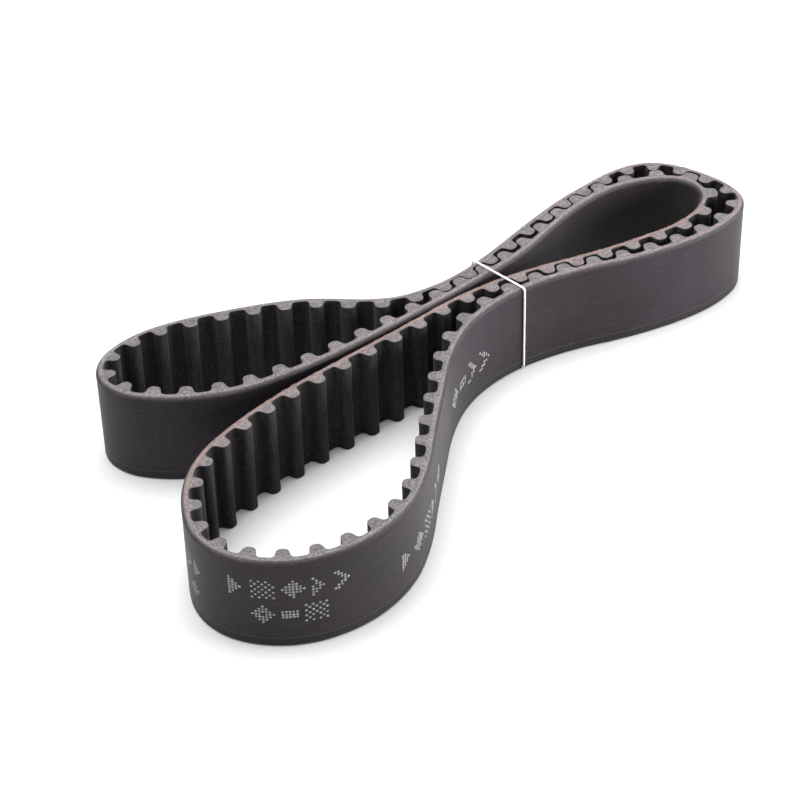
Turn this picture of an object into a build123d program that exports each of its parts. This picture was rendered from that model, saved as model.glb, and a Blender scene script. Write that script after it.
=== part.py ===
from build123d import *
import os
import math

# Endless rubber timing belt for a camshaft drive, folded up and tied at the waist
# the way such belts are sold.  The belt stands on one cut edge: its width runs
# along +Z, the folded loop lies in the XY plane, the long axis of the fold is +X
# and the origin is the centre of the footprint on the table.

# ---------------------------------------------------------------- dimensions (mm)
PITCH = 9.525          # tooth pitch along the cord line (3/8 inch)
TEETH = 101            # teeth round the whole belt
WIDTH = 29.0           # belt width, cut edge to cut edge
THICKNESS = 5.5        # smooth back to tooth tip
LAND = 2.1             # smooth back to the land between two teeth
CORD_DEPTH = 1.42      # smooth back to the centre of the tension cords
CORD_LAYER = 0.76      # thickness of the layer of glass-fibre cords, one cord thick
FACING = 0.22          # woven tooth facing
TOOTH_BASE_HALF = 2.4  # half width of a tooth where it meets the land
TOOTH_TIP_HALF = 1.7   # half width of a tooth across its tip, before rounding
TIP_RADIUS = 1.6       # rounding of the tooth tip
ROOT_RADIUS = 1.3      # fillet where the tooth meets the land
BEVEL_TOP = 1.0        # bevel of the smooth back at the upper cut edge
BEVEL_BOTTOM = 0.3     # bevel of the smooth back at the lower cut edge
THREAD_RADIUS = 0.35   # cotton tie thread
FIRST_TOOTH = 3.600  # cord-line distance from the first station to the first tooth

# Teeth that the tie presses against the teeth of the next layer: they sit a little
# to one side and a few are squeezed shorter.  Tooth: (shift, share of the height).
PRESSED = {
    0: (0.10, 1.00), 19: (-0.10, 1.00), 20: (0.00, 0.96), 24: (0.10, 1.00),
    25: (0.20, 1.00), 27: (-0.10, 1.00), 28: (-0.35, 0.83), 29: (0.00, 0.92),
    30: (0.10, 0.96), 40: (0.35, 1.00), 66: (-0.70, 1.00), 67: (-0.20, 1.00),
    68: (0.10, 1.00), 73: (0.10, 1.00), 84: (-0.10, 1.00), 95: (0.00, 0.96),
    87: (0.00, 0.97)
}

# Stations along the cord line of the belt as it is folded: X, Y and heading in
# degrees.  Two tangent arcs join each station to the next, so the whole route is
# made of circular arcs.  The teeth are on the left of the heading, inside the loop.
STATIONS = [
    (-36.113, 46.163, -202.917),
    (-60.825, 53.501, -193.053),
    (-91.008, 53.388, -158.170),
    (-99.819, 38.313, -76.583),
    (-87.124, 24.379, -29.988),
    (-35.388, 18.988, 8.061),
    (24.434, 30.480, 13.940),
    (52.750, 41.748, 24.817),
    (85.978, 46.837, -14.412),
    (99.681, 35.281, -83.141),
    (88.114, 21.601, -161.504),
    (64.724, 19.574, -181.675),
    (17.855, 23.366, -178.950),
    (-26.775, 16.085, -169.565),
    (-73.185, 5.440, -161.035),
    (-97.117, -7.980, -133.447),
    (-106.525, -24.967, -106.409),
    (-82.335, -55.542, -6.794),
    (-47.951, -43.705, 44.100),
    (-27.577, -18.887, 51.428),
    (-8.074, 4.025, 42.712),
    (27.230, 17.267, 0.476),
    (72.402, 11.758, -3.312),
    (98.920, 15.367, 23.530),
    (107.374, 26.101, 87.307),
    (103.072, 41.998, 115.496),
    (89.249, 54.272, 170.697),
    (67.278, 51.948, 193.240),
    (34.514, 40.403, 203.255),
    (-5.273, 31.031, 175.831),
    (-24.161, 39.077, 144.013),
]


# ---------------------------------------------------------------- route of the belt
def one_arc(x, y, h, x2, y2):
    # the arc that leaves (x, y) with heading h and ends at (x2, y2)
    dx, dy = x2 - x, y2 - y
    chord = math.hypot(dx, dy)
    a = (math.atan2(dy, dx) - h + math.pi) % (2 * math.pi) - math.pi
    k = 2 * math.sin(a) / chord
    return (chord if abs(a) < 1e-9 else 2 * a / k), k, h + 2 * a


def biarc(s0, s1):
    x0, y0, h0 = s0[0], s0[1], math.radians(s0[2])
    x1, y1, h1 = s1[0], s1[1], math.radians(s1[2])
    ax, ay, bx, by = math.cos(h0), math.sin(h0), math.cos(h1), math.sin(h1)
    vx, vy = x1 - x0, y1 - y0
    qa = 2 * (1 - (ax * bx + ay * by))
    qb = 2 * (vx * (ax + bx) + vy * (ay + by))
    qc = -(vx * vx + vy * vy)
    d = -qc / qb if qa < 1e-9 else (-qb + math.sqrt(qb * qb - 4 * qa * qc)) / (2 * qa)
    mx = (x0 + x1 + d * (ax - bx)) / 2
    my = (y0 + y1 + d * (ay - by)) / 2
    l0, k0, hm = one_arc(x0, y0, h0, mx, my)
    l1, k1, _ = one_arc(mx, my, hm, x1, y1)
    return [(x0, y0, h0, l0, k0), (mx, my, hm, l1, k1)]


ARCS = []
for i in range(len(STATIONS)):
    ARCS += biarc(STATIONS[i], STATIONS[(i + 1) % len(STATIONS)])
STARTS = [0.0]
for arc in ARCS:
    STARTS.append(STARTS[-1] + arc[3])
LENGTH = STARTS[-1]
STEP = LENGTH / TEETH
print("cord line %.3f mm, %d teeth x %.4f mm, tightest radius %.2f mm"
      % (LENGTH, TEETH, STEP, min(1 / abs(a[4]) for a in ARCS if abs(a[4]) > 1e-6)))


def on_arc(arc, u):
    x, y, h, _, k = arc
    if abs(k) < 1e-7:
        return x + u * math.cos(h), y + u * math.sin(h), h
    return (x + (math.sin(h + k * u) - math.sin(h)) / k,
            y - (math.cos(h + k * u) - math.cos(h)) / k, h + k * u)


def locate(s):
    s = s % LENGTH
    lo, hi = 0, len(ARCS)
    while hi - lo > 1:
        m = (lo + hi) // 2
        if STARTS[m] <= s:
            lo = m
        else:
            hi = m
    return on_arc(ARCS[lo], s - STARTS[lo])


def at(s, depth):
    # point at cord-line distance s and a given depth below the smooth back
    x, y, h = locate(s)
    o = depth - CORD_DEPTH
    return (x - o * math.sin(h), y + o * math.cos(h), 0)


def offset_wire(depth, z=0.0):
    # closed wire that follows the route at a constant depth below the smooth back
    o = depth - CORD_DEPTH

    def p(arc, u):
        x, y, h = on_arc(arc, u)
        return (x - o * math.sin(h), y + o * math.cos(h), z)

    pts = [p(arc, 0) for arc in ARCS]
    edges = []
    for i, arc in enumerate(ARCS):
        a, b = pts[i], pts[(i + 1) % len(pts)]
        if abs(arc[4]) < 1e-5:
            edges.append(Edge.make_line(a, b))
        else:
            edges.append(Edge.make_three_point_arc(a, p(arc, arc[3] / 2), b))
    return Wire(edges)


# ---------------------------------------------------------------- toothed outline
def tooth_profile(base_half, base, tip_half, tip, r_tip, r_root):
    # one half of a tooth as (kind, points) in (distance from the tooth centre, depth)
    slope = math.hypot(base_half - tip_half, tip - base)
    ux, uy = (tip_half - base_half) / slope, (tip - base) / slope   # up the flank
    half = (math.pi / 2 - math.atan2(-ux, uy)) / 2                  # half the corner
    t = r_tip * math.tan(half)
    f1 = (tip_half - t * ux, tip - t * uy)          # on the flank
    f2 = (tip_half - t, tip)                        # on the flat tip
    c = (f2[0], tip - r_tip)
    m = mid_arc(c, r_tip, f1, f2)
    # root fillet
    tr = r_root * math.tan(half)
    g1 = (base_half + tr, base)                     # on the land
    g2 = (base_half + tr * ux, base + tr * uy)      # on the flank
    cr = (g1[0], base + r_root)
    mr = mid_arc(cr, r_root, g1, g2)
    return g1, mr, g2, f1, m, f2


def mid_arc(c, r, a, b):
    vx, vy = (a[0] + b[0]) / 2 - c[0], (a[1] + b[1]) / 2 - c[1]
    n = math.hypot(vx, vy)
    return (c[0] + vx / n * r, c[1] + vy / n * r)


def tooth_place(k):
    shift, height = PRESSED.get(k % TEETH, (0.0, 1.0))
    return FIRST_TOOTH + k * STEP + shift, height


def toothed_wire(inset):
    # closed wire along the toothed side, a given depth under its surface
    flank = math.atan2(TOOTH_BASE_HALF - TOOTH_TIP_HALF, THICKNESS - LAND)
    back_off = inset * math.tan(flank) - inset / math.cos(flank)
    base = LAND - inset
    profiles = []
    for k in range(TEETH):
        height = tooth_place(k)[1]
        tip = LAND + (THICKNESS - LAND) * height
        tip_half = TOOTH_BASE_HALF - (TOOTH_BASE_HALF - TOOTH_TIP_HALF) * height
        profiles.append(tooth_profile(TOOTH_BASE_HALF + back_off, base, tip_half + back_off,
                                      tip - inset, TIP_RADIUS - inset, ROOT_RADIUS + inset))
    edges = []
    for k in range(TEETH):
        g1, mr, g2, f1, m, f2 = profiles[k]
        h1 = profiles[(k + 1) % TEETH][0]
        s = tooth_place(k)[0]
        left = [at(s - q[0], q[1]) for q in (g1, mr, g2, f1, m, f2)]
        right = [at(s + q[0], q[1]) for q in (f2, m, f1, g2, mr, g1)]
        edges.append(Edge.make_three_point_arc(left[0], left[1], left[2]))
        edges.append(Edge.make_line(left[2], left[3]))
        edges.append(Edge.make_three_point_arc(left[3], left[4], left[5]))
        edges.append(Edge.make_line(left[5], right[0]))
        edges.append(Edge.make_three_point_arc(right[0], right[1], right[2]))
        edges.append(Edge.make_line(right[2], right[3]))
        edges.append(Edge.make_three_point_arc(right[3], right[4], right[5]))
        ahead = tooth_place(k + 1)[0]
        a, b = s + g1[0], ahead - h1[0]
        nxt = at(tooth_place((k + 1) % TEETH)[0] - h1[0], base)
        edges.append(Edge.make_three_point_arc(right[5], at((a + b) / 2, base), nxt))
    return Wire(edges)


outer_teeth = toothed_wire(0.0)
inner_teeth = toothed_wire(FACING)

# ---------------------------------------------------------------- skins along the route
# A line of a cross-section is given in (depth, height).  Each one is carried along
# every arc of the route, so bevels are exact and every skin shares its borders with
# the next.
def carry(kind, points):
    faces = []
    for x, y, h, length, k in ARCS:
        nx, ny = -math.sin(h), math.cos(h)

        def w(q):
            o = q[0] - CORD_DEPTH
            return (x + o * nx, y + o * ny, q[1])

        if kind == "line":
            edge = Edge.make_line(w(points[0]), w(points[1]))
        else:
            edge = Edge.make_three_point_arc(w(points[0]), w(points[1]), w(points[2]))
        if abs(k) < 1e-5:
            faces.append(Face.extrude(edge, Vector(length * math.cos(h), length * math.sin(h), 0)))
        else:
            centre = (x + nx / k, y + ny / k, 0)
            up = 1 if k > 0 else -1
            faces.append(Face.revolve(edge, math.degrees(abs(k) * length),
                                      Axis(centre, (0, 0, up))))
    return faces


def closed(faces, name):
    shell = Shell(faces)
    solid = Solid(shell)
    if solid.volume < 0:
        solid = Solid(Shell([-f for f in shell.faces()]))
    print("%-14s faces %5d volume %.2f valid %s" % (name, len(faces), solid.volume, solid.is_valid))
    return solid


def ring_face(outer, inner, z):
    return Face(outer, [inner]).moved(Location((0, 0, z)))


# ---------------------------------------------------------------- the four bonded layers
CORD_NEAR = CORD_DEPTH - CORD_LAYER / 2
CORD_FAR = CORD_DEPTH + CORD_LAYER / 2
near_wire = offset_wire(CORD_NEAR)
far_wire = offset_wire(CORD_FAR)
backing = closed(
    carry("line", [(BEVEL_BOTTOM, 0), (0, BEVEL_BOTTOM)])
    + carry("line", [(0, BEVEL_BOTTOM), (0, WIDTH - BEVEL_TOP)])
    + carry("line", [(0, WIDTH - BEVEL_TOP), (BEVEL_TOP, WIDTH)])
    + carry("line", [(CORD_NEAR, 0), (CORD_NEAR, WIDTH)])
    + [ring_face(offset_wire(BEVEL_BOTTOM), near_wire, 0),
       ring_face(offset_wire(BEVEL_TOP), near_wire, WIDTH)], "backing")
cord_layer = Solid.extrude(Face(near_wire, [far_wire]), Vector(0, 0, WIDTH))
tooth_rubber = Solid.extrude(Face(far_wire, [inner_teeth]), Vector(0, 0, WIDTH))
facing = Solid.extrude(Face(inner_teeth, [outer_teeth]), Vector(0, 0, WIDTH))
for name, sol in (("cord layer", cord_layer), ("tooth rubber", tooth_rubber), ("facing", facing)):
    print("%-14s volume %.2f valid %s" % (name, sol.volume, sol.is_valid))
print("cord layer section x length %.2f" % (CORD_LAYER * WIDTH * LENGTH))

# ---------------------------------------------------------------- tie thread
# One length of thread goes round all four layers of the folded belt at the waist
# and is knotted on the hidden back of the fold, with two short tails.
R = THREAD_RADIUS
BX, BY, FX, FY = 18.278, 36.210, 23.389, 15.295
tie_dx, tie_dy = FX - BX, FY - BY
tie_len = math.hypot(tie_dx, tie_dy)
ex, ey = tie_dx / tie_len, tie_dy / tie_len      # from the back to the front
tie_plane = Plane(origin=(BX, BY, 0), x_dir=(ex, ey, 0), z_dir=(ey, -ex, 0))
TOP_Z = WIDTH + R
BOTTOM_Z = R
bend = 1.1                                        # bend of the thread over the edges


def tp(a, z):
    return (BX + ex * a, BY + ey * a, z)


c45 = math.sqrt(0.5)
loop_edges = []
q = [(bend, TOP_Z), (tie_len - bend, TOP_Z), (tie_len, TOP_Z - bend), (tie_len, BOTTOM_Z + bend),
     (tie_len - bend, BOTTOM_Z), (bend, BOTTOM_Z), (0, BOTTOM_Z + bend), (0, TOP_Z - bend)]
mids = {1: (tie_len - bend + bend * c45, TOP_Z - bend + bend * c45),
        3: (tie_len - bend + bend * c45, BOTTOM_Z + bend - bend * c45),
        5: (bend - bend * c45, BOTTOM_Z + bend - bend * c45),
        7: (bend - bend * c45, TOP_Z - bend + bend * c45)}
for i in range(8):
    a, b = q[i], q[(i + 1) % 8]
    if i in mids:
        loop_edges.append(Edge.make_three_point_arc(tp(*a), tp(*mids[i]), tp(*b)))
    else:
        loop_edges.append(Edge.make_line(tp(*a), tp(*b)))
loop_wire = Wire(loop_edges)
loop_section = Plane(origin=tp(*q[0]), z_dir=(ex, ey, 0)) * Circle(R)
loop = Solid.sweep(loop_section.faces()[0], loop_wire, transition=Transition.TRANSFORMED)
print("thread loop volume %.3f, section x length %.3f"
      % (loop.volume, math.pi * R * R * loop_wire.length))

# knot: a hard little overhand knot pulled down on the back of the fold
KNOT_Z = 12.0
KNOT_R = 1.05
knot = Solid.make_sphere(KNOT_R, Plane(origin=tp(-0.35, KNOT_Z)), -90, 90, 360)


def tail(points, radii):
    path = FilletPolyline(*points, radius=radii)
    w = Wire(path.edges())
    print("tail %.2f mm" % w.length)
    face = (Plane(origin=w.position_at(0), z_dir=w.tangent_at(0)) * Circle(R * 0.93)).faces()[0]
    return Solid.sweep(face, w, transition=Transition.TRANSFORMED)


def away(a, side, z):
    # a = distance past the back of the fold, side = along the belt
    return (BX - ex * a - ey * side, BY - ey * a + ex * side, z)


tail_a = tail([away(0.45, 0.3, KNOT_Z - 0.5), away(1.6, 1.3, KNOT_Z - 1.2),
               away(2.1, 3.4, KNOT_Z - 4.4), away(1.5, 4.2, KNOT_Z - 8.2)], [0.9, 1.9])
tail_b = tail([away(0.45, -0.3, KNOT_Z + 0.4), away(1.7, -1.5, KNOT_Z + 0.5),
               away(2.0, -4.2, KNOT_Z - 1.6), away(1.3, -5.6, KNOT_Z - 5.4)], [0.9, 2.0])
thread = loop.fuse(knot, tail_a, tail_b)
print("thread volume %.2f solids %d valid %s" % (thread.volume, len(thread.solids()), thread.is_valid))

# ---------------------------------------------------------------- bedding and export
# The thread is pulled into the lower cut edge, so that the belt stands flat on it.
# The nick that it presses is open downwards, and a little deeper round both corners.
NICK_HALF = R + 0.11                              # half width of the nick
NICK_TOP = 2 * R + 0.05                           # height of the nick under the belt
CORNER_TOP = R + bend + 0.06                      # height of the nick at the two corners
CORNER_IN = bend + 0.06                           # its reach inwards at the two corners


def nick(a0, a1, top):
    # block across the fold from a0 to a1, from below the belt up to a given height
    plane = Plane(origin=tp((a0 + a1) / 2, (top - 2) / 2), x_dir=(ex, ey, 0), z_dir=(0, 0, 1))
    return plane * Box(a1 - a0, 2 * NICK_HALF, top + 2)


nicks = [nick(-2, tie_len + 2, NICK_TOP), nick(-2, CORNER_IN, CORNER_TOP),
         nick(tie_len - CORNER_IN, tie_len + 2, CORNER_TOP)]
nicks = nicks[0].fuse(nicks[1], nicks[2])


def cut(shape):
    return list(shape.cut(*nicks.solids()).solids())


backing_s = cut(backing)
cord_s = cut(cord_layer)
tooth_s = cut(tooth_rubber)
facing_s = cut(facing)
for name, sol in (("backing", backing_s), ("cord layer", cord_s), ("tooth rubber", tooth_s),
                  ("facing", facing_s)):
    print(name, "solids", len(sol), "volume %.1f" % sum(s.volume for s in sol),
          "valid", all(s.is_valid for s in sol),
          "shared with thread %.5f" % sum(i.volume for s in sol for i in [s & thread] if i))


def save(name, solids):
    shape = solids[0] if len(solids) == 1 else Compound(children=list(solids))
    export_step(shape, "parts/" + name + ".step")
    bb = shape.bounding_box()
    print("%-26s %3d solid  z %.3f..%.3f  volume %.1f" % (name, len(solids), bb.min.Z, bb.max.Z,
                                                       sum(s.volume for s in solids)))


os.makedirs("parts", exist_ok=True)
save("backing_rubber", backing_s)
save("tooth_rubber", tooth_s)
save("tooth_facing_fabric", facing_s)
save("tension_cord_layer", cord_s)
save("tie_thread", thread.solids())
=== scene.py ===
import math

import bpy
import numpy as np
from mathutils import Matrix, Vector


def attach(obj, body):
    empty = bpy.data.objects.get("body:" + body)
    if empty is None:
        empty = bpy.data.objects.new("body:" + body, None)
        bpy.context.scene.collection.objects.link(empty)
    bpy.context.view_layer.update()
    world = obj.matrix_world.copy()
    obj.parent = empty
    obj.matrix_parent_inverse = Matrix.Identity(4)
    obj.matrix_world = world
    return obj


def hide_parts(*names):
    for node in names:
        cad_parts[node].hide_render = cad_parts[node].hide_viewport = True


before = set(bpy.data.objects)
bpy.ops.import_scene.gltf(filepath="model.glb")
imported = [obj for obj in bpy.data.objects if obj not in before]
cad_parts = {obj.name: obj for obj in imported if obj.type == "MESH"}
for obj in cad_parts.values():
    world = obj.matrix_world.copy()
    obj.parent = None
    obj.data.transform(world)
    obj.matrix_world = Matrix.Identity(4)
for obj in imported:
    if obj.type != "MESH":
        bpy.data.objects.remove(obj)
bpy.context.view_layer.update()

rng = np.random.default_rng(7)

# ------------------------------------------------------------------ sizes, in millimetres
TEETH = 101
WIDTH = 29.0
THICKNESS = 5.5
LAND = 2.1
CORD_DEPTH = 1.42
CORD_LAYER = 0.76
FACING = 0.22
BASE_HALF = 2.4
TIP_HALF = 1.7
TIP_R = 1.6
ROOT_R = 1.3
BEVEL_TOP = 1.0
BEVEL_BOTTOM = 0.3
THREAD_R = 0.35
FIRST_TOOTH = 3.600
PRESSED = {
    0: (0.10, 1.00), 19: (-0.10, 1.00), 20: (0.00, 0.96), 24: (0.10, 1.00),
    25: (0.20, 1.00), 27: (-0.10, 1.00), 28: (-0.35, 0.83), 29: (0.00, 0.92),
    30: (0.10, 0.96), 40: (0.35, 1.00), 66: (-0.70, 1.00), 67: (-0.20, 1.00),
    68: (0.10, 1.00), 73: (0.10, 1.00), 84: (-0.10, 1.00), 95: (0.00, 0.96),
    87: (0.00, 0.97)
}
STATIONS = [
    (-36.113, 46.163, -202.917), (-60.825, 53.501, -193.053), (-91.008, 53.388, -158.170),
    (-99.819, 38.313, -76.583), (-87.124, 24.379, -29.988), (-35.388, 18.988, 8.061),
    (24.434, 30.480, 13.940), (52.750, 41.748, 24.817), (85.978, 46.837, -14.412),
    (99.681, 35.281, -83.141), (88.114, 21.601, -161.504), (64.724, 19.574, -181.675),
    (17.855, 23.366, -178.950), (-26.775, 16.085, -169.565), (-73.185, 5.440, -161.035),
    (-97.117, -7.980, -133.447), (-106.525, -24.967, -106.409), (-82.335, -55.542, -6.794),
    (-47.951, -43.705, 44.100), (-27.577, -18.887, 51.428), (-8.074, 4.025, 42.712),
    (27.230, 17.267, 0.476), (72.402, 11.758, -3.312), (98.920, 15.367, 23.530),
    (107.374, 26.101, 87.307), (103.072, 41.998, 115.496), (89.249, 54.272, 170.697),
    (67.278, 51.948, 193.240), (34.514, 40.403, 203.255), (-5.273, 31.031, 175.831),
    (-24.161, 39.077, 144.013),
]


# ------------------------------------------------------------------ route of the belt
def one_arc(x, y, h, x2, y2):
    dx, dy = x2 - x, y2 - y
    chord = math.hypot(dx, dy)
    a = (math.atan2(dy, dx) - h + math.pi) % (2 * math.pi) - math.pi
    k = 2 * math.sin(a) / chord
    return (chord if abs(a) < 1e-9 else 2 * a / k), k, h + 2 * a


def biarc(s0, s1):
    x0, y0, h0 = s0[0], s0[1], math.radians(s0[2])
    x1, y1, h1 = s1[0], s1[1], math.radians(s1[2])
    ax, ay, bx, by = math.cos(h0), math.sin(h0), math.cos(h1), math.sin(h1)
    vx, vy = x1 - x0, y1 - y0
    qa = 2 * (1 - (ax * bx + ay * by))
    qb = 2 * (vx * (ax + bx) + vy * (ay + by))
    qc = -(vx * vx + vy * vy)
    d = -qc / qb if qa < 1e-9 else (-qb + math.sqrt(qb * qb - 4 * qa * qc)) / (2 * qa)
    mx = (x0 + x1 + d * (ax - bx)) / 2
    my = (y0 + y1 + d * (ay - by)) / 2
    l0, k0, hm = one_arc(x0, y0, h0, mx, my)
    l1, k1, _ = one_arc(mx, my, hm, x1, y1)
    return [(x0, y0, h0, l0, k0), (mx, my, hm, l1, k1)]


ARCS = []
for i in range(len(STATIONS)):
    ARCS += biarc(STATIONS[i], STATIONS[(i + 1) % len(STATIONS)])
ARCS = np.array(ARCS)
STARTS = np.concatenate([[0.0], np.cumsum(ARCS[:, 3])])
LENGTH = float(STARTS[-1])
STEP = LENGTH / TEETH


def place(s, depth, z):
    """Points in metres for belt distance s, depth under the smooth back, and height, all in mm."""
    s, depth, z = np.broadcast_arrays(np.asarray(s, float), depth, z)
    m = np.mod(s, LENGTH)
    i = np.clip(np.searchsorted(STARTS, m, side="right") - 1, 0, len(ARCS) - 1)
    u = m - STARTS[i]
    x, y, h, _, k = np.moveaxis(ARCS[i], -1, 0)
    k = np.where(np.abs(k) < 1e-7, 1e-7, k)
    px = x + (np.sin(h + k * u) - np.sin(h)) / k
    py = y - (np.cos(h + k * u) - np.cos(h)) / k
    hh = h + k * u
    o = depth - CORD_DEPTH
    return np.stack([px - o * np.sin(hh), py + o * np.cos(hh), z], -1) / 1000


def heading(s):
    m = np.mod(np.asarray(s, float), LENGTH)
    i = np.clip(np.searchsorted(STARTS, m, side="right") - 1, 0, len(ARCS) - 1)
    return ARCS[i, 2] + ARCS[i, 4] * (m - STARTS[i])


def wander(s, waves, seed, low=2, high=60):
    """A smooth closed random function of belt distance, about -1 to 1."""
    r = np.random.default_rng(seed)
    out = np.zeros_like(s, dtype=float)
    for _ in range(waves):
        n = int(r.integers(low, high))
        out += math.sqrt(1 / waves) * np.sin(2 * np.pi * n * s / LENGTH + r.uniform(0, 6.28))
    return out


# ------------------------------------------------------------------ mesh helpers
def make_mesh(name, verts, faces, route=None, sharp=35):
    mesh = bpy.data.meshes.new(name)
    mesh.from_pydata(verts.reshape(-1, 3).tolist(), [], faces.tolist())
    if route is not None:
        a = mesh.attributes.new("route", "FLOAT_VECTOR", "CORNER")
        a.data.foreach_set("vector", route.astype(np.float32).ravel())
    mesh.shade_smooth()
    if sharp:
        mesh.set_sharp_from_angle(angle=math.radians(sharp))
    mesh.validate()
    obj = bpy.data.objects.new(name, mesh)
    bpy.context.scene.collection.objects.link(obj)
    return obj


def belt_skin(name, s, d, z, sharp=35):
    """A closed skin round the whole belt.  s, d and z are (stations, points of the section)."""
    n, m = s.shape
    verts = place(s, d, z)
    i, j = np.meshgrid(np.arange(n), np.arange(m), indexing="ij")
    i2, j2 = (i + 1) % n, (j + 1) % m
    faces = np.stack([i * m + j, i * m + j2, i2 * m + j2, i2 * m + j], -1).reshape(-1, 4)
    wrap = np.where(i + 1 == n, LENGTH, 0.0)

    def at(a, b, w):
        return np.stack([s[a, b] + w, d[a, b], z[a, b]], -1)

    route = np.stack([at(i, j, 0 * wrap), at(i, j2, 0 * wrap), at(i2, j2, wrap), at(i2, j, wrap)],
                     -2).reshape(-1, 3)
    # the section runs so that the faces look outwards
    return make_mesh(name, verts, faces, route, sharp)


def tube(points, radius, sides=8, ends=True, close=False):
    """Vertices and quads of a tube along points, in metres."""
    p = np.asarray(points, float)
    t = np.roll(p, -1, 0) - np.roll(p, 1, 0) if close else np.gradient(p, axis=0)
    t /= np.linalg.norm(t, axis=1)[:, None] + 1e-12
    n = np.zeros_like(p)
    a = np.cross(t[0], [0.31, 0.47, 0.83])
    n[0] = a / np.linalg.norm(a)
    for q in range(1, len(p)):
        v = n[q - 1] - t[q] * (n[q - 1] @ t[q])
        n[q] = v / (np.linalg.norm(v) + 1e-12)
    b = np.cross(t, n)
    r = np.broadcast_to(np.asarray(radius, float), (len(p),))
    ang = np.arange(sides) * 2 * np.pi / sides
    v = (p[:, None] + r[:, None, None] * (n[:, None] * np.cos(ang)[None, :, None]
                                          + b[:, None] * np.sin(ang)[None, :, None]))
    faces = []
    m = len(p)
    for q in range(m if close else m - 1):
        for w in range(sides):
            w2, q2 = (w + 1) % sides, (q + 1) % m
            faces.append((q * sides + w, q * sides + w2, q2 * sides + w2, q2 * sides + w))
    if not close and ends:
        faces.append(tuple(range(sides - 1, -1, -1)))
        faces.append(tuple((m - 1) * sides + w for w in range(sides)))
    return v.reshape(-1, 3), faces


def join(parts):
    verts, faces, base = [], [], 0
    for v, f in parts:
        verts.append(v)
        faces += [tuple(x + base for x in q) for q in f]
        base += len(v)
    return np.vstack(verts), faces


def mesh_of(name, parts, sharp=0):
    verts, faces = join(parts)
    mesh = bpy.data.meshes.new(name)
    mesh.from_pydata(verts.tolist(), [], faces)
    mesh.shade_smooth()
    if sharp:
        mesh.set_sharp_from_angle(angle=math.radians(sharp))
    mesh.validate()
    obj = bpy.data.objects.new(name, mesh)
    bpy.context.scene.collection.objects.link(obj)
    return obj


# ------------------------------------------------------------------ materials
class Nodes:
    def __init__(self, name):
        self.mat = bpy.data.materials.new(name)
        self.mat.use_nodes = True
        self.t = self.mat.node_tree
        self.bsdf = self.t.nodes["Principled BSDF"]

    def add(self, kind, **values):
        n = self.t.nodes.new(kind)
        for k, v in values.items():
            if k.startswith("_"):
                n.inputs[k[1:].replace("_", " ")].default_value = v
            else:
                setattr(n, k, v)
        return n

    def link(self, a, b):
        self.t.links.new(a, b)

    def math(self, op, a, b=None, clamp=False):
        n = self.add("ShaderNodeMath", operation=op, use_clamp=clamp)
        for i, x in enumerate((a, b)):
            if x is None:
                continue
            if isinstance(x, (int, float)):
                n.inputs[i].default_value = x
            else:
                self.link(x, n.inputs[i])
        return n.outputs[0]

    def route(self):
        """belt distance, depth and height in mm"""
        a = self.add("ShaderNodeAttribute", attribute_name="route", attribute_type="GEOMETRY")
        x = self.add("ShaderNodeSeparateXYZ")
        self.link(a.outputs["Vector"], x.inputs[0])
        return a.outputs["Vector"], x.outputs[0], x.outputs[1], x.outputs[2]

    def object_mm(self):
        """place in the object, in mm"""
        g = self.add("ShaderNodeTexCoord")
        v = self.add("ShaderNodeVectorMath", operation="SCALE")
        self.link(g.outputs["Object"], v.inputs[0])
        v.inputs["Scale"].default_value = 1000.0
        return v.outputs[0]

    def scaled(self, vector, x, y, z):
        v = self.add("ShaderNodeVectorMath", operation="MULTIPLY")
        self.link(vector, v.inputs[0])
        v.inputs[1].default_value = (x, y, z)
        return v.outputs[0]

    def noise(self, vector, scale, detail=3.0, rough=0.5):
        n = self.add("ShaderNodeTexNoise", _Scale=scale, _Detail=detail, _Roughness=rough)
        self.link(vector, n.inputs["Vector"])
        return n.outputs[0]

    def ramp(self, value, lo, hi, to_lo=0.0, to_hi=1.0):
        n = self.add("ShaderNodeMapRange", clamp=True, interpolation_type="SMOOTHSTEP")
        self.link(value, n.inputs["Value"])
        for k, v in (("From Min", lo), ("From Max", hi), ("To Min", to_lo), ("To Max", to_hi)):
            n.inputs[k].default_value = v
        return n.outputs["Result"]

    def mix(self, factor, a, b, mode="MIX"):
        n = self.add("ShaderNodeMix", data_type="RGBA", blend_type=mode)
        if isinstance(factor, (int, float)):
            n.inputs["Factor"].default_value = factor
        else:
            self.link(factor, n.inputs["Factor"])
        for sock, x in ((n.inputs[6], a), (n.inputs[7], b)):
            if isinstance(x, tuple):
                sock.default_value = (*x, 1.0)
            else:
                self.link(x, sock)
        return n.outputs[2]

    def bump(self, height, strength, distance, under=None):
        n = self.add("ShaderNodeBump", _Strength=strength, _Distance=distance)
        self.link(height, n.inputs["Height"])
        if under is not None:
            self.link(under, n.inputs["Normal"])
        return n.outputs[0]

    def finish(self, color, rough, normal=None, specular=0.5, sheen=0.0, sheen_rough=0.5):
        self.link(color, self.bsdf.inputs["Base Color"])
        self.link(rough, self.bsdf.inputs["Roughness"])
        if normal is not None:
            self.link(normal, self.bsdf.inputs["Normal"])
        self.bsdf.inputs["Specular IOR Level"].default_value = specular
        self.bsdf.inputs["Sheen Weight"].default_value = sheen
        self.bsdf.inputs["Sheen Roughness"].default_value = sheen_rough
        return self.mat


# where the slit ran along a cord, so that it shows on the cut edge: (from, to, strength)
def shown_cord(m, s):
    spans = [(125, 300, 0.32), (300, 522, 1.0), (700, 880, 0.36)]
    total = None
    for a, b, w in spans:
        up = m.ramp(s, a, a + 14)
        down = m.ramp(s, b - 14, b, 1.0, 0.0)
        v = m.math("MULTIPLY", m.math("MULTIPLY", up, down), w)
        total = v if total is None else m.math("MAXIMUM", total, v)
    return total


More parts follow.
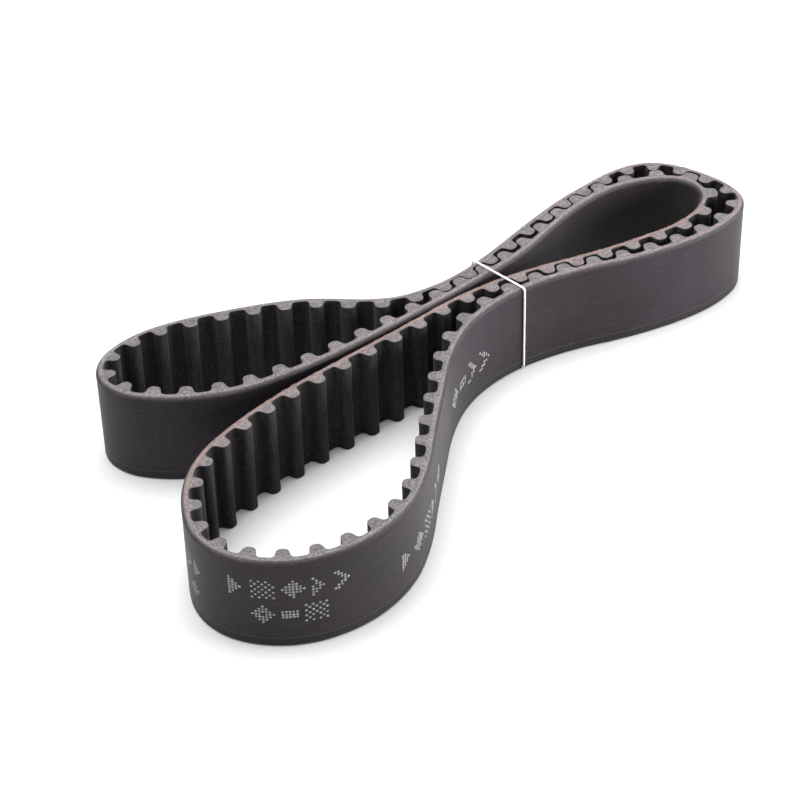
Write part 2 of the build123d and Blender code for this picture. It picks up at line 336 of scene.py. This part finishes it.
def cut_face(m, vec, s, d, z, base, light):
    """Colour and bump of rubber that a slitting knife has cut: matt, gritty, with fine lines along the belt."""
    obj = m.object_mm()
    drag = m.noise(m.scaled(vec, 0.12, 2.6, 0.4), 1.0, 4.0, 0.65)
    grain = m.noise(obj, 1.15, 5.0, 0.75)
    grit = m.noise(obj, 2.3, 3.0, 0.7)
    c = m.mix(m.ramp(drag, 0.35, 0.66), base, light)
    c = m.mix(m.ramp(grain, 0.40, 0.62, 0.65, 0.0), c, tuple(x * 0.45 for x in base))
    c = m.mix(m.ramp(grit, 0.56, 0.70, 0.0, 0.75), c, tuple(min(1, x * 1.9) for x in light))
    # dust of the cut cords tints the face where they fray
    tint = m.math("MULTIPLY", shown_cord(m, s), m.ramp(grain, 0.38, 0.66, 0.05, 0.50))
    c = m.mix(tint, c, (0.250, 0.190, 0.184))
    return c, drag, grain


def backing_material():
    m = Nodes("backing_rubber")
    vec, s, d, z = m.route()
    obj = m.object_mm()
    cloud = m.noise(m.scaled(vec, 0.03, 1, 0.05), 1.0, 4.0, 0.55)
    fine = m.noise(obj, 3.0, 5.0, 0.65)
    scuff = m.noise(m.scaled(vec, 0.16, 1, 1.7), 1.0, 3.0, 0.6)
    back = m.mix(m.ramp(cloud, 0.3, 0.7), (0.0125, 0.0095, 0.0125), (0.0205, 0.0160, 0.0205))
    back = m.mix(m.ramp(scuff, 0.56, 0.76, 0.0, 0.50), back, (0.052, 0.044, 0.051))
    dust = m.noise(obj, 0.9, 8.0, 0.85)
    back = m.mix(m.ramp(dust, 0.54, 0.70, 0.0, 0.40), back, (0.066, 0.056, 0.064))
    lint = m.ramp(m.noise(obj, 0.75, 8.0, 0.9), 0.655, 0.685)
    back = m.mix(m.math("MULTIPLY", lint, 0.6), back, (0.27, 0.26, 0.26))
    # a faint lighter line low on the back, along the shallow groove there, and darker below it
    below = m.ramp(z, 2.2, 2.6, 1.0, 0.0)
    back = m.mix(m.math("MULTIPLY", below, 0.35), back, (0.008, 0.0075, 0.008))
    line = m.math("MULTIPLY", m.ramp(z, 2.35, 2.6), m.ramp(z, 2.7, 3.0, 1.0, 0.0))
    back = m.mix(m.math("MULTIPLY", line, 0.4), back, (0.058, 0.055, 0.059))
    face, drag, grain = cut_face(m, vec, s, d, z, (0.104, 0.094, 0.099), (0.190, 0.173, 0.180))
    top = m.math("MAXIMUM", m.ramp(z, 28.9, 28.99), m.ramp(z, 0.01, 0.1, 1.0, 0.0))
    slope = m.math("MULTIPLY", m.ramp(z, 27.85, 28.75), m.ramp(d, 0.05, 0.75))
    c = m.mix(m.math("MAXIMUM", top, m.math("MULTIPLY", slope, 0.48)), back, face)
    # painted highlights: a thin light line where the bevel meets the cut face, and a fainter one where it meets
    # the back, both broken up along the belt by noise
    crest_highlight = m.math("MULTIPLY", m.ramp(z, 28.70, 28.96), m.ramp(d, 0.62, 0.92))
    foot_highlight = m.math("MULTIPLY", m.ramp(z, 27.75, 28.0), m.ramp(d, 0.0, 0.30, 1.0, 0.0))
    # noise that breaks up both painted highlight lines along the belt
    highlight_breakup = m.ramp(m.noise(m.scaled(vec, 0.35, 1.0, 1.0), 1.0, 4.0, 0.7), 0.35, 0.65, 0.25, 1.0)
    # painted highlight along the crest of the top bevel
    c = m.mix(m.math("MULTIPLY", m.math("MULTIPLY", crest_highlight, highlight_breakup), 0.65), c, (0.195, 0.184, 0.189))
    # fainter painted highlight at the foot of the bevel, on the back
    c = m.mix(m.math("MULTIPLY", m.math("MULTIPLY", foot_highlight, highlight_breakup), 0.35), c, (0.075, 0.070, 0.074))
    rough = m.ramp(m.math("ADD", m.math("MULTIPLY", cloud, 0.5), m.math("MULTIPLY", fine, 0.5)),
                   0.3, 0.7, 0.46, 0.66)
    rough = m.math("MAXIMUM", rough, m.math("MULTIPLY", top, 0.85))
    n = m.bump(fine, 0.35, 0.00020)
    n = m.bump(scuff, 0.20, 0.00020, n)
    return m.finish(c, rough, n, specular=0.17, sheen=0.05, sheen_rough=0.45)


def tooth_rubber_material():
    m = Nodes("tooth_rubber")
    vec, s, d, z = m.route()
    c, drag, grain = cut_face(m, vec, s, d, z, (0.100, 0.091, 0.096), (0.180, 0.165, 0.171))
    # the cut teeth are a little darker towards their tips
    c = m.mix(m.ramp(d, 2.2, 5.4, 0.0, 0.35), c, (0.088, 0.081, 0.085))
    rough = m.ramp(grain, 0.3, 0.7, 0.72, 0.92)
    n = m.bump(grain, 0.55, 0.0004)
    n = m.bump(drag, 0.35, 0.0003, n)
    return m.finish(c, rough, n, specular=0.16, sheen=0.05)


def facing_material():
    m = Nodes("facing_fabric")
    vec, s, d, z = m.route()
    # threads of the woven facing: one set across the belt, a finer set along it
    def thread(v, per_mm, shift=0.0):
        x = m.math("MULTIPLY", v, per_mm * 2 * math.pi)
        return m.math("SINE", m.math("ADD", x, shift))
    along = m.math("ADD", s, m.math("MULTIPLY", d, 0.8))
    weave = m.math("MULTIPLY", thread(along, 1.6), thread(z, 1.6))
    weave = m.math("ADD", m.math("MULTIPLY", weave, 0.5), 0.5)
    streak = m.noise(m.scaled(vec, 1.1, 0.7, 0.05), 1.0, 4.0, 0.6)
    cloud = m.noise(m.object_mm(), 0.12, 3.0, 0.5)
    c = m.mix(m.ramp(streak, 0.35, 0.7), (0.0105, 0.0095, 0.0101), (0.0310, 0.0282, 0.0300))
    c = m.mix(m.ramp(weave, 0.2, 0.9, 0.0, 0.35), c, (0.020, 0.019, 0.020))
    c = m.mix(m.ramp(cloud, 0.5, 0.75, 0.0, 0.30), c, (0.026, 0.024, 0.025))
    dusty = m.noise(m.object_mm(), 1.1, 8.0, 0.85)
    c = m.mix(m.ramp(dusty, 0.49, 0.67, 0.0, 0.72), c, (0.070, 0.065, 0.067))
    lint = m.ramp(m.noise(m.object_mm(), 0.8, 8.0, 0.9), 0.65, 0.68)
    c = m.mix(m.math("MULTIPLY", lint, 0.6), c, (0.30, 0.28, 0.28))
    # the facing is cut through at both edges and shows a paler line there
    rim = m.math("MAXIMUM", m.ramp(z, 28.8, 28.98), m.ramp(z, 0.02, 0.2, 1.0, 0.0))
    c = m.mix(m.math("MULTIPLY", rim, 0.8), c, (0.125, 0.115, 0.120))
    rough = m.ramp(streak, 0.3, 0.7, 0.62, 0.85)
    n = m.bump(weave, 0.55, 0.00022)
    n = m.bump(streak, 0.45, 0.0005, n)
    n = m.bump(dusty, 0.35, 0.0003, n)
    return m.finish(c, rough, n, specular=0.12, sheen=0.06, sheen_rough=0.4)


def cord_material():
    m = Nodes("cord_layer")
    vec, s, d, z = m.route()
    shown = shown_cord(m, s)
    strand = m.noise(m.scaled(vec, 0.5, 6.0, 1.0), 1.0, 4.0, 0.65)
    patch = m.noise(m.scaled(vec, 0.22, 1.0, 0.1), 1.0, 4.0, 0.7)
    glass = m.mix(m.ramp(strand, 0.3, 0.7), (0.115, 0.070, 0.062), (0.300, 0.205, 0.185))
    rubber, drag, grain = cut_face(m, vec, s, d, z, (0.100, 0.091, 0.096), (0.180, 0.165, 0.171))
    amount = m.math("MULTIPLY", shown, m.ramp(patch, 0.36, 0.56, 0.35, 1.0))
    c = m.mix(amount, rubber, glass)
    rough = m.ramp(strand, 0.3, 0.7, 0.75, 0.95)
    n = m.bump(strand, 0.6, 0.00025)
    return m.finish(c, rough, n, specular=0.25, sheen=0.15)


def plain_fibre(name, dark, light, scale=3.0):
    m = Nodes(name)
    v = m.noise(m.object_mm(), scale, 4.0, 0.6)
    c = m.mix(m.ramp(v, 0.3, 0.7), dark, light)
    return m.finish(c, m.ramp(v, 0.3, 0.7, 0.75, 0.95), m.bump(v, 0.3, 0.0001),
                    specular=0.25, sheen=0.35)


def ink_material():
    m = Nodes("marking_ink")
    v = m.noise(m.object_mm(), 2.4, 4.0, 0.7)
    c = m.mix(m.ramp(v, 0.35, 0.68), (0.130, 0.127, 0.136), (0.300, 0.294, 0.308))
    return m.finish(c, m.ramp(v, 0.3, 0.7, 0.55, 0.8), m.bump(v, 0.3, 0.00005), specular=0.3)


# ------------------------------------------------------------------ nick of the tie thread
BX, BY, FX, FY = 18.278, 36.210, 23.389, 15.295
tie = math.hypot(FX - BX, FY - BY)
ex, ey = (FX - BX) / tie, (FY - BY) / tie
BEND = 1.1
TOP_Z, LOW_Z = WIDTH + THREAD_R, THREAD_R
NICK_HALF, NICK_TOP = 0.46, 0.75
CORNER_TOP, CORNER_IN = 1.51, 1.16


def across(p):
    """Distance from the back of the fold towards the front, and along the belt, in mm."""
    x, y = p[..., 0] * 1000 - BX, p[..., 1] * 1000 - BY
    return x * ex + y * ey, -x * ey + y * ex


def nick_stations():
    """Belt distances at the walls of the nick, for each layer that the thread passes under."""
    grid = np.arange(0, LENGTH, 0.02)
    a, side = across(place(grid, CORD_DEPTH, 0.0))
    hit = np.where((side[:-1] * side[1:] <= 0) & (np.abs(side[:-1]) < 1) & (a[:-1] > -1)
                   & (a[:-1] < tie + 1))[0]
    out = []
    for i in hit:
        w = slice(max(i - 60, 0), i + 60)
        order = np.argsort(side[w])
        out += list(np.interp([-0.7, -0.475, -0.455, 0.0, 0.455, 0.475, 0.7],
                              side[w][order], grid[w][order]))
    return np.array(sorted(out)), len(hit)


NICK_S, LAYERS_TIED = nick_stations()
print("layers under the thread", LAYERS_TIED)


def press_nick(obj):
    """Lifts the lower edge of a skin off the thread."""
    co = np.zeros(len(obj.data.vertices) * 3)
    obj.data.vertices.foreach_get("co", co)
    co = co.reshape(-1, 3)
    a, side = across(co)
    inside = (np.abs(side) <= NICK_HALF) & (a > -2) & (a < tie + 2)
    corner = (a < CORNER_IN) | (a > tie - CORNER_IN)
    top = np.where(corner, CORNER_TOP, NICK_TOP) / 1000
    lift = inside & (co[:, 2] < top)
    co[lift, 2] = top[lift]
    obj.data.vertices.foreach_set("co", co.ravel())
    obj.data.update()


# ------------------------------------------------------------------ smooth back
CORD_NEAR = CORD_DEPTH - CORD_LAYER / 2
CORD_FAR = CORD_DEPTH + CORD_LAYER / 2

base_s = np.union1d(np.arange(2020) * LENGTH / 2020, NICK_S)
N = len(base_s)
section = [(CORD_NEAR, 0.0), (0.55, 0.0), (0.34, 0.01), (0.2, 0.07), (0.08, 0.18), (0.02, 0.34),
           (0.0, 0.9), (0.0, 2.1), (0.004, 2.3), (0.045, 2.45), (0.05, 2.6), (0.004, 2.8),
           (0.0, 3.2), (0.0, 6.0), (0.0, 10.0), (0.0, 14.5), (0.0, 19.0), (0.0, 23.0),
           (0.0, 26.0), (0.0, 27.5), (0.02, 27.92), (0.10, 28.14), (0.30, 28.36), (0.55, 28.60),
           (0.78, 28.82), (0.90, 28.95), (0.98, 29.0), (CORD_NEAR, 29.0)]
sec = np.array(section)
S = np.repeat(base_s[:, None], len(sec), 1)
D = np.repeat(sec[None, :, 0], N, 0).copy()
Z = np.repeat(sec[None, :, 1], N, 0).copy()
# the hand-guided bevel wanders a little along the belt
drift = 0.07 * wander(base_s, 14, 3, 6, 90)
near_top = (sec[:, 1] > 27.8) & (sec[:, 1] < 28.98)
Z[:, near_top] -= np.abs(drift)[:, None] * 0.6
D[:, (sec[:, 1] > 1) & (sec[:, 1] < 27)] += (0.012 * (1 + wander(base_s, 20, 5, 10, 160)))[:, None]
backing = belt_skin("smooth_back", S, D, Z, sharp=50)

# ------------------------------------------------------------------ cord layer
csec = np.array([(CORD_NEAR, 0.0), (CORD_NEAR, 29.0), (1.16, 28.98), (1.28, 29.0), (1.42, 29.02),
                 (1.56, 29.0), (1.68, 28.98), (CORD_FAR, 29.0), (CORD_FAR, 0.0)])
S = np.repeat(base_s[:, None], len(csec), 1)
D = np.repeat(csec[None, :, 0], N, 0)
Z = np.repeat(csec[None, :, 1], N, 0).copy()
Z[:, 2:7] += (0.025 * wander(base_s, 40, 11, 80, 700))[:, None]
cords = belt_skin("tension_cords", S, D[:, :], Z, sharp=50)


# ------------------------------------------------------------------ toothed side
def half_tooth(height, inset):
    """Points (distance from the tooth's centre, depth) from the land to the tip's middle."""
    flank = math.atan2(BASE_HALF - TIP_HALF, THICKNESS - LAND)
    off = inset * math.tan(flank) - inset / math.cos(flank)
    base, tip = LAND - inset, LAND + (THICKNESS - LAND) * height - inset
    bh = BASE_HALF + off
    th = BASE_HALF - (BASE_HALF - TIP_HALF) * height + off
    rt, rr = TIP_R - inset, ROOT_R + inset
    slope = math.hypot(bh - th, tip - base)
    ux, uy = (th - bh) / slope, (tip - base) / slope
    half = (math.pi / 2 - math.atan2(-ux, uy)) / 2
    t, tr = rt * math.tan(half), rr * math.tan(half)
    pts = []
    turn = math.pi / 2 - math.atan2(-ux, uy)
    cr = (bh + tr, base + rr)
    for q in np.linspace(0, turn, 6):
        pts.append((cr[0] - rr * math.sin(q), cr[1] - rr * math.cos(q)))
    f1 = (th - t * ux, tip - t * uy)
    g2 = pts[-1]
    for q in (0.33, 0.67):
        pts.append((g2[0] + (f1[0] - g2[0]) * q, g2[1] + (f1[1] - g2[1]) * q))
    c = (th - t, tip - rt)
    for q in np.linspace(turn, 0, 7):
        pts.append((c[0] + rt * math.sin(q), c[1] + rt * math.cos(q)))
    pts.append((c[0] * 0.5, tip))
    return pts


def outline(inset):
    s, d = [], []
    for k in range(TEETH):
        shift, height = PRESSED.get(k, (0.0, 1.0))
        nshift = PRESSED.get((k + 1) % TEETH, (0.0, 1.0))[0]
        half = half_tooth(height, inset)
        mid = FIRST_TOOTH + k * STEP + shift
        s += [mid - p[0] for p in half] + [mid] + [mid + p[0] for p in reversed(half)]
        d += [p[1] for p in half] + [half[-1][1]] + [p[1] for p in reversed(half)]
        a = s[-1]
        b = FIRST_TOOTH + (k + 1) * STEP + nshift - half_tooth(1.0, inset)[0][0]
        s += [a + (b - a) * q for q in (0.25, 0.5, 0.75)]
        d += [LAND - inset] * 3
    return np.array(s), np.array(d)


os_, od = outline(0.0)
is_, id_ = outline(FACING)


def with_stations(targets, lead, *others):
    """The outline's arrays with extra points where the leading one passes each target."""
    arrays = [lead, *others]
    at_ = np.interp(targets, lead, np.arange(len(lead)))
    index = np.union1d(np.arange(len(lead)), at_)
    return [np.interp(index, np.arange(len(lead)), x) for x in arrays]


os_, od, is_, id_ = with_stations(NICK_S, os_, od, is_, id_)

zs = [29.0, 28.9, 28.6, 27.6, 25, 22, 19, 16, 13, 10, 7, 4, 1.5, 0.4, 0.1, 0.0]
S = np.stack([is_, is_] + [os_] * len(zs), 1)
D = np.stack([id_, id_] + [od] * len(zs), 1)
Z = np.stack([np.zeros_like(os_), np.full_like(os_, 29.0)] + [np.full_like(os_, q) for q in zs], 1)
# the fabric isn't quite even: it sinks a little between its own threads, never outwards
for c in range(3, 2 + len(zs) - 1):
    D[:, c] -= 0.02 * (1 + wander(os_, 24, 40 + c, 40, 420))
facing = belt_skin("tooth_facing", S, D, Z, sharp=50)

far = np.full_like(is_, CORD_FAR)
steps = (0.33, 0.67)
tz = [(far, 0.0), (far, 29.0)] + [(far + (id_ - far) * q, 29.0) for q in steps] \
    + [(id_, 29.0), (id_, 0.0)] + [(far + (id_ - far) * q, 0.0) for q in reversed(steps)]
S = np.stack([is_] * len(tz), 1)
D = np.stack([q[0] for q in tz], 1)
Z = np.stack([np.full_like(is_, q[1]) for q in tz], 1)
teeth = belt_skin("tooth_rubber_body", S, D, Z, sharp=50)

# ------------------------------------------------------------------ frayed cord fibres on the cut edge
spans = [(125, 300, 0.32), (300, 522, 1.0), (700, 880, 0.36)]
fibres = []
for a, b, w in spans:
    for _ in range(int((b - a) * 7 * w)):
        s0 = rng.uniform(a, b)
        length = rng.uniform(0.3, 1.5)
        d0 = CORD_DEPTH + rng.normal(0, 0.26)
        lean, lift = rng.normal(0, 0.38), abs(rng.normal(0, 0.11))
        q = np.linspace(0, 1, 5)
        ss = s0 + q * length
        dd = np.clip(d0 + lean * q + 0.05 * np.sin(q * 6.3 + rng.uniform(0, 6)), 0.95, 1.95)
        zz = 29.02 + lift * np.sin(q * 3.14) + 0.01
        fibres.append(tube(place(ss, dd, zz), rng.uniform(0.022, 0.05) / 1000, sides=3))
fuzz = mesh_of("cord_fray", fibres)

# ------------------------------------------------------------------ tie thread, three plies twisted together


def tp(a, z, side=0.0):
    return np.array([BX + ex * a - ey * side, BY + ey * a + ex * side, z])


def loop_points(step=0.1):
    corners = [(BEND, TOP_Z - BEND, 180, 90), (tie - BEND, TOP_Z - BEND, 90, 0),
               (tie - BEND, LOW_Z + BEND, 0, -90), (BEND, LOW_Z + BEND, -90, -180)]
    raw = []
    for ca, cz, a0, a1 in corners:
        for q in np.linspace(math.radians(a0), math.radians(a1), 14):
            raw.append((ca + BEND * math.cos(q), cz + BEND * math.sin(q)))
    raw.append(raw[0])
    raw = np.array(raw)
    run = np.concatenate([[0], np.cumsum(np.linalg.norm(np.diff(raw, axis=0), axis=1))])
    n = int(run[-1] / step)
    t = np.arange(n) * run[-1] / n
    return np.array([tp(np.interp(x, run, raw[:, 0]), np.interp(x, run, raw[:, 1])) for x in t])


def plies(points, pitch, ply_r, offset, count=3, close=False):
    p = np.asarray(points, float)
    t = np.roll(p, -1, 0) - np.roll(p, 1, 0) if close else np.gradient(p, axis=0)
    t /= np.linalg.norm(t, axis=1)[:, None]
    run = np.concatenate([[0], np.cumsum(np.linalg.norm(np.diff(p, axis=0), axis=1))])
    total = run[-1] + (np.linalg.norm(p[0] - p[-1]) if close else 0)
    turns = round(total / pitch)
    ref = np.array([-ey, ex, 0.0])
    n = ref - t * (t @ ref)[:, None]
    n /= np.linalg.norm(n, axis=1)[:, None]
    b = np.cross(t, n)
    out = []
    for k in range(count):
        a = 2 * np.pi * (turns * run / total + k / count)
        c = p + offset * (n * np.cos(a)[:, None] + b * np.sin(a)[:, None])
        out.append(tube(c / 1000, ply_r / 1000, sides=8, close=close))
    return out


parts = plies(loop_points(), 1.75, 0.165, 0.165, close=True)


def smooth_path(points, step=0.1):
    p = np.asarray(points, float)
    e = np.vstack([2 * p[0] - p[1], p, 2 * p[-1] - p[-2]])
    out = []
    for i in range(1, len(e) - 2):
        n = max(2, int(np.linalg.norm(e[i + 1] - e[i]) / step))
        for t in np.arange(n) / n:
            out.append(0.5 * (2 * e[i] + (e[i + 1] - e[i - 1]) * t
                              + (2 * e[i - 1] - 5 * e[i] + 4 * e[i + 1] - e[i + 2]) * t * t
                              + (3 * e[i] - e[i - 1] - 3 * e[i + 1] + e[i + 2]) * t ** 3))
    out.append(p[-1])
    return np.array(out)


def away(a, side, z):
    return np.array([BX - ex * a - ey * side, BY - ey * a + ex * side, z])


KNOT_Z = 12.0
q = np.linspace(0, 2 * np.pi, 90, endpoint=False)
kx, ky, kz = np.sin(q) + 2 * np.sin(2 * q), np.cos(q) - 2 * np.cos(2 * q), -np.sin(3 * q)
knot = np.array([away(0.55 + c * 0.26, a * 0.27, KNOT_Z + b * 0.27) for a, b, c in zip(kx, ky, kz)])
parts += plies(knot, 1.2, 0.125, 0.125, close=True)
tails = [
    [away(0.45, 0.3, KNOT_Z - 0.5), away(1.6, 1.3, KNOT_Z - 1.2), away(2.0, 3.3, KNOT_Z - 4.4),
     away(1.5, 4.2, KNOT_Z - 8.2)],
    [away(0.45, -0.3, KNOT_Z + 0.4), away(1.6, -1.5, KNOT_Z + 0.4), away(1.9, -4.1, KNOT_Z - 1.7),
     away(1.3, -5.6, KNOT_Z - 5.4)]]
for t in tails:
    path = smooth_path(t)
    parts += plies(path, 1.75, 0.155, 0.155)
thread = mesh_of("waist_thread", parts)

# loose cotton fibres on the thread
hairs = []
lp = loop_points()
for _ in range(420):
    i = int(rng.integers(0, len(lp)))
    a = lp[i]
    dirn = rng.normal(0, 1, 3)
    dirn /= np.linalg.norm(dirn)
    if a[2] < 3 or (a + dirn)[2] < 1:
        continue
    along = lp[(i + 4) % len(lp)] - a
    q = np.linspace(0, 1, 4)[:, None]
    pts = a + dirn * 0.27 + along * q * rng.uniform(0.4, 2.0) + dirn * q * rng.uniform(0.02, 0.22)
    pts[:, 2] = np.minimum(pts[:, 2], 29.95)
    hairs.append(tube(pts / 1000, 0.018 / 1000, sides=3))
hair = mesh_of("thread_fibres", hairs)

# ------------------------------------------------------------------ generic dotted marks on the smooth back
GLYPHS = {
    "chevron": ["11000", "01100", "00110", "00011", "00110", "01100", "11000"],
    "wedge": ["10000", "11000", "11100", "11110", "11100", "11000", "10000"],
    "bar": ["00000", "00000", "11111", "11111", "11111", "00000", "00000"],
    "diamond": ["0001000", "0011100", "0111110", "1111111", "0111110", "0011100", "0001000"],
    "check": ["1010101", "0101010", "1010101", "0101010", "1010101", "0101010", "1010101"],
    "dots": ["000", "000", "000", "010", "000", "000", "000"],
}
dots = []


def disc(s, z, r):
    """A small flat spot of ink that lies on the smooth back."""
    ang = np.arange(10) * 2 * np.pi / 10
    rim = place(s + r * np.cos(ang), -0.018, z + r * np.sin(ang))
    low = place(s + 1.12 * r * np.cos(ang), 0.03, z + 1.12 * r * np.sin(ang))
    mid = place(np.array([s]), -0.024, np.array([z]))
    v = np.vstack([rim, low, mid])
    f = []
    for i in range(10):
        j = (i + 1) % 10
        f.append((20, i, j))
        f.append((i, 10 + i, 10 + j, j))
    f.append(tuple(range(19, 9, -1)))
    return v, f


def row_of_marks(names, s0, z0, pitch, wear=0.06, rise=0.0):
    s = s0
    for name in names:
        g = GLYPHS[name]
        for r, line in enumerate(g):
            for c, ch in enumerate(line):
                if ch == "1" and rng.random() > wear:
                    along = s + c * pitch + rng.normal(0, 0.03)
                    up = z0 + (6 - r) * pitch + rise * (along - s0) + rng.normal(0, 0.03)
                    dots.append(disc(along, up, pitch * rng.uniform(0.34, 0.44)))
        s += (len(g[0]) + 1.5) * pitch


row_of_marks(["wedge", "check", "diamond", "wedge", "chevron"], 542.0, 17.0, 0.90)
row_of_marks(["diamond", "bar", "check"], 547.6, 8.4, 0.90)
row_of_marks(["chevron", "wedge"], 524.5, 15.4, 0.78, wear=0.18)
row_of_marks(["diamond"], 526.6, 7.6, 0.74, wear=0.2)
row_of_marks(["wedge", "diamond", "check", "wedge", "chevron", "diamond"], 591.5, 9.5, 0.95)
row_of_marks(["diamond", "bar", "chevron", "chevron"], 660.5, 9.0, 1.05)
verts, faces = join(dots)
marks = mesh_of("printed_marks", [(verts, faces)])

# ------------------------------------------------------------------ outward normals and materials
import bmesh  # noqa: E402

for o in (backing, cords, facing, teeth):
    press_nick(o)

for o in (backing, cords, facing, teeth, fuzz, thread, hair, marks):
    bm = bmesh.new()
    bm.from_mesh(o.data)
    bmesh.ops.recalc_face_normals(bm, faces=bm.faces)
    bm.to_mesh(o.data)
    bm.free()

for o, mat, slot in (
        (backing, backing_material(), "backing_rubber"), (cords, cord_material(), "cord_layer"),
        (facing, facing_material(), "facing_fabric"), (teeth, tooth_rubber_material(), "tooth_rubber"),
        (fuzz, plain_fibre("cord_fibre", (0.16, 0.10, 0.09), (0.42, 0.30, 0.27)), "cord_layer"),
        (thread, plain_fibre("cotton", (0.66, 0.66, 0.65), (0.86, 0.86, 0.85)), "thread"),
        (hair, plain_fibre("cotton_fibre", (0.72, 0.72, 0.71), (0.88, 0.88, 0.87)), "thread"),
        (marks, ink_material(), None)):
    o.data.materials.append(mat)
    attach(o, "root")

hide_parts("backing_rubber")
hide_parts("tension_cord_layer")
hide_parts("tooth_rubber")
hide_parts("tooth_facing_fabric")
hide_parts("tie_thread")

# ------------------------------------------------------------------ floor, light and camera
mesh = bpy.data.meshes.new("floor")
mesh.from_pydata([(-4, -4, -0.0002), (4, -4, -0.0002), (4, 4, -0.0002), (-4, 4, -0.0002)], [], [(0, 1, 2, 3)])
floor = bpy.data.objects.new("floor", mesh)
bpy.context.scene.collection.objects.link(floor)
fm = Nodes("floor")
v = fm.noise(fm.object_mm(), 0.01, 2.0, 0.5)
floor.data.materials.append(fm.finish(fm.mix(v, (0.60, 0.60, 0.604), (0.615, 0.615, 0.615)),
                                      fm.ramp(v, 0, 1, 0.7, 0.8), specular=0.1))

world = bpy.data.worlds.new("studio")
bpy.context.scene.world = world
world.use_nodes = True
world.node_tree.nodes["Background"].inputs[0].default_value = (1.0, 1.0, 1.0, 1.0)
world.node_tree.nodes["Background"].inputs[1].default_value = 0.43


def area(name, place_m, aim, size, power):
    light = bpy.data.lights.new(name, "AREA")
    light.shape, light.size, light.size_y, light.energy = "RECTANGLE", size[0], size[1], power
    o = bpy.data.objects.new(name, light)
    o.location = place_m
    o.rotation_mode = "QUATERNION"
    o.rotation_quaternion = (Vector(aim) - Vector(place_m)).to_track_quat("-Z", "Y")
    bpy.context.scene.collection.objects.link(o)
    return o


area("top_box", (-0.02, 0.18, 0.95), (0, 0, 0), (1.1, 0.8), 21.0)
area("right_box", (0.50, -0.33, 0.14), (0.08, 0.01, 0.015), (0.50, 0.22), 7.6)
area("left_box", (-0.95, 0.05, 0.40), (-0.05, 0, 0), (0.5, 0.6), 3.0)

pos = Vector((-0.289336, -0.461420, 0.429956))
look = Vector((-0.015989, 0.021718, 0.0))
fwd = (look - pos).normalized()
right = fwd.cross(Vector((0, 0, 1))).normalized()
up = right.cross(fwd)
roll = math.radians(-1.532)
r2 = math.cos(roll) * right + math.sin(roll) * up
u2 = -math.sin(roll) * right + math.cos(roll) * up
cam = bpy.data.cameras.new("camera")
cam.lens, cam.sensor_width = 106.705, 36.0
cam.clip_start, cam.clip_end = 0.05, 20.0
camera = bpy.data.objects.new("camera", cam)
camera.matrix_world = Matrix(((r2.x, u2.x, -fwd.x, pos.x), (r2.y, u2.y, -fwd.y, pos.y),
                              (r2.z, u2.z, -fwd.z, pos.z), (0, 0, 0, 1)))
bpy.context.scene.collection.objects.link(camera)
bpy.context.scene.camera = camera
bpy.context.scene.view_settings.view_transform = "Standard"
